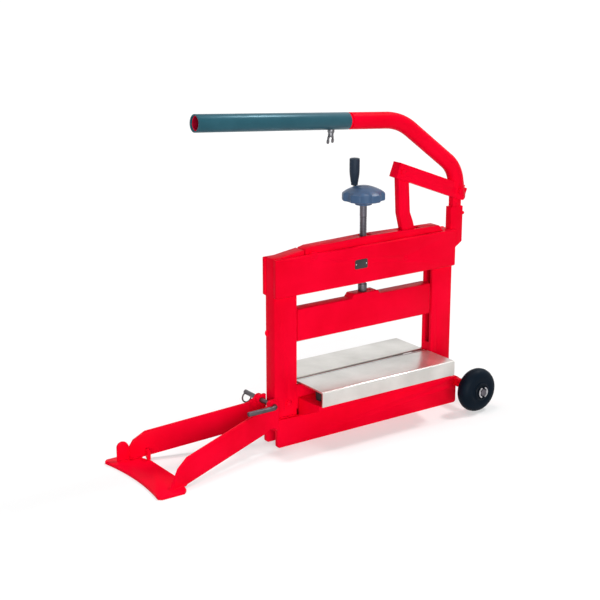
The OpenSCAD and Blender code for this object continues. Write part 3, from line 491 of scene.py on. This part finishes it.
clipLow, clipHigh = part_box("axle_clips")
clipY = {"front": clipLow.y + clip["inset"] * mm, "rear": clipHigh.y - clip["inset"] * mm}
for side, turn in (("front", faceForward), ("rear", faceBack)):
    low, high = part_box(side + "_tyre")
    centre = (low + high) / 2
    radius, half = (high.z - low.z) / 2 / mm, (high.y - low.y) / 2 / mm
    bm = turned(tyreSection(tyre, radius, half), tyre["steps"])
    newPiece(side + "Tyre", moved(bm, turn, shift(*centre)), finish["tyreRubber"], side + "_wheel",
             "tyre_rubber", [side + "_tyre"], smooth=tyre["smooth"])
    bm = turned(hubSection(hub, half), hub["steps"])
    roundEdges(bm, hub["edge"])
    newPiece(side + "Hub", moved(bm, turn, shift(*centre)), finish["hubPlastic"], side + "_wheel",
             "hub_plastic", [side + "_hub"])
    bm = joined(*[moved(clipHalf(clip, middle), turn, shift(centre.x, clipY[side], centre.z))
                  for middle in (0, 180)])
    roundEdges(bm, clip["edge"])
    newPiece(side + "AxleClip", bm, finish["zincPlate"], "frame", "zinc_steel", ["axle_clips"])
print("wheels made")


# Hinge pin of the foot: one bar bent into a handle

pin = {"radius": 6, "bend": 11, "bendSteps": 10, "segments": 20, "edge": 1.6, "edgeSegments": 3,
       "edgeAngle": 60}


def drawnOut(bm, face, vec):
    # the bar's end face drawn out along vec
    step = bmesh.ops.extrude_face_region(bm, geom=face)["geom"]
    bmesh.ops.translate(bm, vec=vec, verts=vertsIn(step))
    return facesIn(step)


def bentPin(size):
    low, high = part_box("hinge_pin")
    radius, bend = size["radius"] * mm, size["bend"] * mm
    axisX = high.x - radius
    axisZ = (low.z + high.z) / 2
    handleY = low.y + radius
    bm = bmesh.new()
    ring = bmesh.ops.create_circle(bm, cap_ends=True, segments=size["segments"], radius=radius)["verts"]
    bmesh.ops.rotate(bm, cent=(0, 0, 0), matrix=Matrix.Rotation(-pi / 2, 3, "X"), verts=ring)
    bmesh.ops.translate(bm, vec=(axisX, high.y, axisZ), verts=ring)
    face = drawnOut(bm, bm.faces[:], (0, handleY + bend - high.y, 0))
    bent = bmesh.ops.spin(bm, geom=face, cent=(axisX - bend, handleY + bend, axisZ), axis=(0, 0, 1),
                          angle=-pi / 2, steps=size["bendSteps"])["geom_last"]
    bm.faces.remove(face[0])
    face = facesIn(bent)
    drawnOut(bm, face, (low.x - (axisX - bend), 0, 0))
    bm.faces.remove(face[0])
    bmesh.ops.remove_doubles(bm, verts=bm.verts, dist=tolerance["seam"] * mm)
    bmesh.ops.recalc_face_normals(bm, faces=bm.faces)
    roundEdges(bm, size["edge"], size["edgeSegments"], size["edgeAngle"])
    return bm


newPiece("bentHingePin", bentPin(pin), finish["darkOxide"], "foot", "grey_steel", ["hinge_pin"])
print("hinge pin made")


# Rubber buffers under the tables

buffer = {
    "profile": [(5.6, 0), (12.6, 0), (13.2, 0.06), (14.4, 0.24), (13.7, 0.3), (14.9, 0.44), (15, 0.5),
                (14.9, 0.56), (13.7, 0.7), (14.4, 0.76), (13.2, 0.94), (12.6, 1), (5.6, 1), (5.6, 0)],
    "steps": 56, "edge": 0.5, "edgeAngle": 40, "kept": 0.83,
}

for side in ("front", "rear"):
    low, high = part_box(side + "_buffers")
    height = (high.z - low.z) / mm
    radius = (high.y - low.y) / 2
    both = []
    for x in (low.x + radius, high.x - radius):
        bm = turned([(r, z * height) for r, z in buffer["profile"]], buffer["steps"])
        both.append(moved(bm, shift(x, (low.y + high.y) / 2, low.z)))
    bm = joined(*both)
    roundEdges(bm, buffer["edge"], limit=buffer["edgeAngle"])
    piece = newPiece(side + "Buffers", bm, finish["bufferRubber"], "frame", "buffer_rubber",
                     [side + "_buffers"])
    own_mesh(piece)
print("buffers made")


# Cap nuts on the lower blade's bolts

capNut = {"corner": 9.4, "high": 5, "edge": 0.7, "domeSteps": 40,
          "dome": [(0, 9.4), (2.6, 9), (4.9, 7.8), (6.6, 6), (7.2, 4.6), (0, 4.6)]}


def domedNut(size):
    bm = bmesh.new()
    bmesh.ops.create_cone(bm, cap_ends=True, segments=6, radius1=size["corner"] * mm,
                          radius2=size["corner"] * mm, depth=size["high"] * mm)
    moved(bm, shift(0, 0, size["high"] * mm / 2))
    roundEdges(bm, size["edge"])
    return joined(bm, turned(size["dome"], size["domeSteps"]))


low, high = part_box("beam_bolts")
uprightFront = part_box("left_upright")[0].y
boltX = high.x - capNut["corner"] * mm
boltZ = (low.z + high.z) / 2
nuts = []
for x in (-boltX, boltX):
    nuts.append(moved(domedNut(capNut), faceForward, shift(x, uprightFront, boltZ)))
    nuts.append(moved(domedNut(capNut), faceBack, shift(x, -uprightFront, boltZ)))
newPiece("beamCapNuts", joined(*nuts), finish["redPaint"], "frame", "red_paint", ["beam_bolts"])
print("cap nuts made")


# Blank plate with two rivets on the front cheek

plate = {"wide": 40, "high": 24, "thick": 1.2, "corner": 4, "cornerSegments": 5, "edge": 0.3,
         "centreX": -27, "centreZ": 437.5}
rivet = {"profile": [(0, 1.1), (0.8, 0.9), (1.4, 0.5), (1.7, 0), (0, 0)], "steps": 20}

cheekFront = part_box("front_cheek")[0].y
thick = plate["thick"] * mm
bm = bmesh.new()
bmesh.ops.create_cube(bm, size=1)
bmesh.ops.scale(bm, vec=(plate["wide"] * mm, thick, plate["high"] * mm), verts=bm.verts)
corners = [e for e in bm.edges if abs(e.verts[0].co.y - e.verts[1].co.y) > thick / 2]
bmesh.ops.bevel(bm, geom=corners, offset=plate["corner"] * mm, affect="EDGES",
                segments=plate["cornerSegments"], profile=0.5, material=-1)
roundEdges(bm, plate["edge"])
plateAt = shift(plate["centreX"] * mm, cheekFront - thick / 2, plate["centreZ"] * mm)
newPiece("blankPlate", moved(bm, plateAt), finish["blankPlate"], "frame", "hub_plastic")
rivets = []
for side in (-1, 1):
    x = plate["centreX"] + side * (plate["wide"] / 2 - plate["corner"])
    rivetAt = shift(x * mm, cheekFront - thick, plate["centreZ"] * mm)
    rivets.append(moved(turned(rivet["profile"], rivet["steps"]), faceForward, rivetAt))
newPiece("plateRivets", joined(*rivets), finish["zincPlate"], "frame", "zinc_steel")
print("blank plate made")


# Weld seams and two small stops, under the paint

weld = {"pitch": 2.6, "ripple": 0.13, "endShare": 0.55, "endWithin": 0.1, "sides": 8, "smooth": 60}
seams = {"upright": {"radius": 3, "inset": 3},
         "corner": {"radius": 2.4, "inset": 3, "footInset": 2, "sideInset": 1},
         "post": {"radius": 2.6, "inset": 6},
         "lug": {"radius": 2, "inset": 3},
         "shelf": {"radius": 2.2, "inset": 5},
         "foot": {"radius": 2.4, "within": 0.5}}
nubs = {"proud": 1, "segments": 20, "rings": 12,
        "upright": {"inset": 5, "z": 291, "size": (5, 4.5, 8)},
        "post": {"inset": 4, "z": 520, "size": (7, 4.5, 5)}}


def bead(start, end, radius):
    start, end = Vector(start) * mm, Vector(end) * mm
    along = end - start
    bm = bmesh.new()
    bmesh.ops.create_cone(bm, cap_ends=True, segments=weld["sides"], radius1=radius * mm,
                          radius2=radius * mm, depth=along.length)
    long = [e for e in bm.edges if abs(e.verts[0].co.z - e.verts[1].co.z) > along.length / 2]
    cuts = max(2, int(along.length / mm / weld["pitch"]))
    bmesh.ops.subdivide_edges(bm, edges=long, cuts=cuts)
    for v in bm.verts:
        swell = 1 + weld["ripple"] * cos(pi * round(v.co.z / mm / weld["pitch"]))
        if abs(v.co.z) > along.length / 2 - weld["endWithin"] * mm:
            swell = weld["endShare"]
        v.co.x *= swell
        v.co.y *= swell
    turn = Vector((0, 0, 1)).rotation_difference(along).to_matrix().to_4x4()
    return moved(bm, turn, shift(*((start + end) / 2)))


def levelBead(fromX, toX, y, z, seam):
    return bead((fromX + seam["inset"], y, z), (toX - seam["inset"], y, z), seam["radius"])


def uprightBead(x, y, fromZ, toZ, seam):
    return bead((x, y, fromZ + seam.get("footInset", seam["inset"])), (x, y, toZ - seam["inset"]),
                seam["radius"])


def boxMm(node):
    low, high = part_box(node)
    return low / mm, high / mm


def frameBeads():
    channelLow, channelHigh = boxMm("base_channel")
    cheekLow, cheekHigh = boxMm("front_cheek")
    postLow, postHigh = boxMm("lever_post")
    lugLow, lugHigh = boxMm("hinge_lugs")
    corner = seams["corner"]
    for node in ("left_upright", "right_upright"):
        low, high = boxMm(node)
        for y in (low.y, high.y):
            for z in (channelHigh.z, cheekLow.z):
                yield levelBead(low.x, high.x, y, z, seams["upright"])
        for x in (low.x, high.x):
            for y in (low.y + corner["sideInset"], high.y - corner["sideInset"]):
                yield uprightBead(x, y, low.z, channelHigh.z, corner)
    for y in (postLow.y, postHigh.y):
        yield uprightBead(postLow.x, y, postLow.z, cheekHigh.z, seams["post"])
    for y in (lugLow.y, lugHigh.y):
        yield uprightBead(lugHigh.x, y, lugLow.z, lugHigh.z, seams["lug"])
    for node in ("front_left_bracket", "front_right_bracket", "rear_left_bracket", "rear_right_bracket"):
        low, high = boxMm(node)
        y = channelLow.y if node.startswith("front") else channelHigh.y
        yield levelBead(low.x, high.x, y, channelHigh.z, seams["shelf"])


def footBeads():
    # along both sides of each leg's foot and the open side of the lug
    seam = seams["foot"]
    plateTop = boxMm("toe_plate")[1].z
    for node in ("front_leg", "rear_leg", "toe_lug"):
        points = [v.co / mm for v in nodes[node].data.vertices]
        onPlate = [c for c in points if abs(c.z - plateTop) < seam["within"]]
        corners = sorted({(round(c.x, 1), round(c.y, 1)) for c in onPlate})
        ends = [sorted(pair, key=lambda corner: corner[1]) for pair in (corners[:2], corners[-2:])]
        for side in ((0,) if node == "toe_lug" else (0, 1)):
            yield bead((*ends[0][side], plateTop), (*ends[1][side], plateTop), seam["radius"])


def frameNubs():
    # on the left upright's outer face and on the lever post's
    uprightLow, uprightHigh = boxMm("left_upright")
    postLow, postHigh = boxMm("lever_post")
    upright, post = nubs["upright"], nubs["post"]
    spots = ((uprightLow.x - nubs["proud"], uprightHigh.y - upright["inset"], upright["z"]),
             (postHigh.x + nubs["proud"], postLow.y + post["inset"], post["z"]))
    for place, nub in zip(spots, (upright, post)):
        bm = bmesh.new()
        bmesh.ops.create_uvsphere(bm, u_segments=nubs["segments"], v_segments=nubs["rings"], radius=mm)
        bmesh.ops.scale(bm, vec=nub["size"], verts=bm.verts)
        yield moved(bm, shift(*(Vector(place) * mm)))


for name, parts, body in (("frameWelds", frameBeads(), "frame"), ("frameNubs", frameNubs(), "frame"),
                          ("footWelds", footBeads(), "foot")):
    newPiece(name, joined(*parts), finish["redPaint"], body, "red_paint", smooth=weld["smooth"])
print("welds made")


# Studio: white ground, soft lamps, and the camera of the picture

studio = {"floorHalf": 40, "floorColour": 0.55, "floorGlow": 0.48, "ambient": 0.2,
          "key": {"from": (-0.2, 0.15, 0.96), "spread": 24, "strength": 1.05},
          "rim": {"from": (0.56, -0.03, 0.82), "spread": 9, "strength": 1.5},
          "fill": {"from": (-0.46, -0.87, 0.12), "spread": 40, "strength": 3.08}}
camera = {"place": (-2.1003, -2.7064, 1.3207), "turn": 35.15, "fall": 16.12, "lens": 83.46,
          "sensor": 36, "clipEnd": 200}


def seenByEye(tree):
    # 1 for camera, glossy and transmission rays, 0 for the light that falls on things
    path = addNode(tree, "LightPath")
    first = addNode(tree, "Math", operation="MAXIMUM")
    second = addNode(tree, "Math", operation="MAXIMUM")
    tree.links.new(path.outputs["Is Camera Ray"], first.inputs[0])
    tree.links.new(path.outputs["Is Glossy Ray"], first.inputs[1])
    tree.links.new(first.outputs[0], second.inputs[0])
    tree.links.new(path.outputs["Is Transmission Ray"], second.inputs[1])
    return second.outputs[0]


def makeFloor():
    bm = bmesh.new()
    bmesh.ops.create_grid(bm, x_segments=1, y_segments=1, size=studio["floorHalf"])
    mesh = bpy.data.meshes.new("floor")
    bm.to_mesh(mesh)
    bm.free()
    material = bpy.data.materials.new("floorWhite")
    material.use_nodes = True
    tree = material.node_tree
    tree.nodes.clear()
    paper = addNode(tree, "BsdfDiffuse", {"Color": (*[studio["floorColour"]] * 3, 1)})
    glow = addNode(tree, "Emission", {"Color": (1, 1, 1, 1)})
    level = addNode(tree, "Math", {1: studio["floorGlow"]}, operation="MULTIPLY")
    both = addNode(tree, "AddShader")
    out = addNode(tree, "OutputMaterial")
    tree.links.new(seenByEye(tree), level.inputs[0])
    tree.links.new(level.outputs[0], glow.inputs["Strength"])
    tree.links.new(paper.outputs[0], both.inputs[0])
    tree.links.new(glow.outputs[0], both.inputs[1])
    tree.links.new(both.outputs[0], out.inputs["Surface"])
    mesh.materials.append(material)
    floor = bpy.data.objects.new("floor", mesh)
    scene.collection.objects.link(floor)


def makeWorld():
    world = bpy.data.worlds.new("studioWhite")
    scene.world = world
    world.use_nodes = True
    tree = world.node_tree
    tree.nodes.clear()
    seen = addNode(tree, "Background", {"Color": (1, 1, 1, 1), "Strength": 1})
    soft = addNode(tree, "Background", {"Color": (1, 1, 1, 1), "Strength": studio["ambient"]})
    mix = addNode(tree, "MixShader")
    out = addNode(tree, "OutputWorld")
    tree.links.new(seenByEye(tree), mix.inputs[0])
    tree.links.new(soft.outputs[0], mix.inputs[1])
    tree.links.new(seen.outputs[0], mix.inputs[2])
    tree.links.new(mix.outputs[0], out.inputs["Surface"])


def addLamp(name, lamp):
    light = bpy.data.lights.new(name, "SUN")
    light.energy = lamp["strength"]
    light.angle = radians(lamp["spread"])
    holder = bpy.data.objects.new(name, light)
    holder.rotation_euler = (-Vector(lamp["from"])).to_track_quat("-Z", "Y").to_euler()
    scene.collection.objects.link(holder)


makeFloor()
makeWorld()
for name in ("key", "rim", "fill"):
    addLamp(name + "Lamp", studio[name])

lens = bpy.data.cameras.new("pictureCamera")
lens.sensor_width = camera["sensor"]
lens.lens = camera["lens"]
lens.clip_end = camera["clipEnd"]
eye = bpy.data.objects.new("pictureCamera", lens)
turn, fall = radians(camera["turn"]), radians(camera["fall"])
aim = Vector((sin(turn) * cos(fall), cos(turn) * cos(fall), -sin(fall)))
eye.location = camera["place"]
eye.rotation_euler = aim.to_track_quat("-Z", "Y").to_euler()
scene.collection.objects.link(eye)
scene.camera = eye
scene.view_settings.view_transform = "Standard"
print("studio made")
